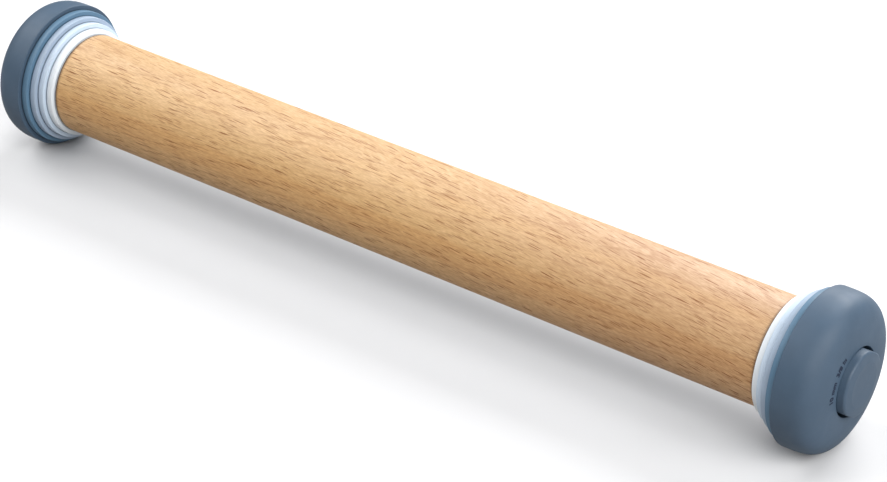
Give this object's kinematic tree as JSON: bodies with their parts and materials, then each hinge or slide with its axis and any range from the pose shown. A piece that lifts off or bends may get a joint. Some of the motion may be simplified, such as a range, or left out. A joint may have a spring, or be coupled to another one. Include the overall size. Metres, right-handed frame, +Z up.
{
  "type": "adjustable rolling pin",
  "caption": "Beech rolling pin with a stack of stepped thickness discs at each end, held by a knob that screws into the roller.",
  "frame": {"origin": "on the worktop under the middle of the roller, at the bottom centre of the bounding box", "axes": "+X along the pin towards the end that is nearer in the picture, +Y across the worktop away from the picture's camera, +Z up"},
  "size_m": [0.4274, 0.0648, 0.0649],
  "materials": {
    "beech_wood": "oiled beech, satin",
    "insert_plastic": "moulded nylon",
    "white_plastic": "moulded, fine satin",
    "ice_plastic": "moulded, fine satin",
    "lavender_plastic": "moulded, fine satin",
    "steel_plastic": "moulded, fine satin",
    "slate_plastic": "moulded, fine satin",
    "knob_plastic": "moulded, fine satin"
  },
  "bodies": {
    "roller": {"roller": "beech_wood", "insert_left": "insert_plastic", "insert_right": "insert_plastic"},
    "disc_2mm_right": {"disc_2mm_right": "white_plastic"},
    "disc_4mm_right": {"disc_4mm_right": "ice_plastic"},
    "disc_6mm_right": {"disc_6mm_right": "lavender_plastic"},
    "disc_8mm_right": {"disc_8mm_right": "steel_plastic"},
    "cap_disc_10mm_right": {"cap_disc_10mm_right": "slate_plastic"},
    "knob_right": {"knob_right": "knob_plastic"},
    "disc_2mm_left": {"disc_2mm_left": "white_plastic"},
    "disc_4mm_left": {"disc_4mm_left": "ice_plastic"},
    "disc_6mm_left": {"disc_6mm_left": "lavender_plastic"},
    "disc_8mm_left": {"disc_8mm_left": "steel_plastic"},
    "cap_disc_10mm_left": {"cap_disc_10mm_left": "slate_plastic"},
    "knob_left": {"knob_left": "knob_plastic"}
  },
  "joints": [
    {"name": "disc_2mm_right_slide", "type": "slide", "parent": "roller", "child": "disc_2mm_right", "axis": [1, 0, 0], "range_m": [0, 0.004]},
    {"name": "disc_4mm_right_slide", "type": "slide", "parent": "disc_2mm_right", "child": "disc_4mm_right", "axis": [1, 0, 0], "range_m": [0, 0.004]},
    {"name": "disc_6mm_right_slide", "type": "slide", "parent": "disc_4mm_right", "child": "disc_6mm_right", "axis": [1, 0, 0], "range_m": [0, 0.004]},
    {"name": "disc_8mm_right_slide", "type": "slide", "parent": "disc_6mm_right", "child": "disc_8mm_right", "axis": [1, 0, 0], "range_m": [0, 0.004]},
    {"name": "cap_disc_10mm_right_slide", "type": "slide", "parent": "disc_8mm_right", "child": "cap_disc_10mm_right", "axis": [1, 0, 0], "range_m": [0, 0.004]},
    {"name": "knob_right_turn", "type": "hinge", "parent": "cap_disc_10mm_right", "child": "knob_right", "pos_m": [0.2, 0, 0.03243], "axis": [1, 0, 0], "range_deg": [0, 1800]},
    {"name": "disc_2mm_left_slide", "type": "slide", "parent": "roller", "child": "disc_2mm_left", "axis": [-1, 0, 0], "range_m": [0, 0.004]},
    {"name": "disc_4mm_left_slide", "type": "slide", "parent": "disc_2mm_left", "child": "disc_4mm_left", "axis": [-1, 0, 0], "range_m": [0, 0.004]},
    {"name": "disc_6mm_left_slide", "type": "slide", "parent": "disc_4mm_left", "child": "disc_6mm_left", "axis": [-1, 0, 0], "range_m": [0, 0.004]},
    {"name": "disc_8mm_left_slide", "type": "slide", "parent": "disc_6mm_left", "child": "disc_8mm_left", "axis": [-1, 0, 0], "range_m": [0, 0.004]},
    {"name": "cap_disc_10mm_left_slide", "type": "slide", "parent": "disc_8mm_left", "child": "cap_disc_10mm_left", "axis": [-1, 0, 0], "range_m": [0, 0.004]},
    {"name": "knob_left_turn", "type": "hinge", "parent": "cap_disc_10mm_left", "child": "knob_left", "pos_m": [-0.2, 0, 0.03243], "axis": [-1, 0, 0], "range_deg": [0, 1800]}
  ],
  "couplings": [
    {"joint": "disc_2mm_right_slide", "follows": "cap_disc_10mm_right_slide", "ratio": 1},
    {"joint": "disc_4mm_right_slide", "follows": "cap_disc_10mm_right_slide", "ratio": 1},
    {"joint": "disc_6mm_right_slide", "follows": "cap_disc_10mm_right_slide", "ratio": 1},
    {"joint": "disc_8mm_right_slide", "follows": "cap_disc_10mm_right_slide", "ratio": 1},
    {"joint": "knob_right_turn", "follows": "cap_disc_10mm_right_slide", "rad_per_m": 7854},
    {"joint": "disc_2mm_left_slide", "follows": "cap_disc_10mm_left_slide", "ratio": 1},
    {"joint": "disc_4mm_left_slide", "follows": "cap_disc_10mm_left_slide", "ratio": 1},
    {"joint": "disc_6mm_left_slide", "follows": "cap_disc_10mm_left_slide", "ratio": 1},
    {"joint": "disc_8mm_left_slide", "follows": "cap_disc_10mm_left_slide", "ratio": 1},
    {"joint": "knob_left_turn", "follows": "cap_disc_10mm_left_slide", "rad_per_m": 7854}
  ]
}
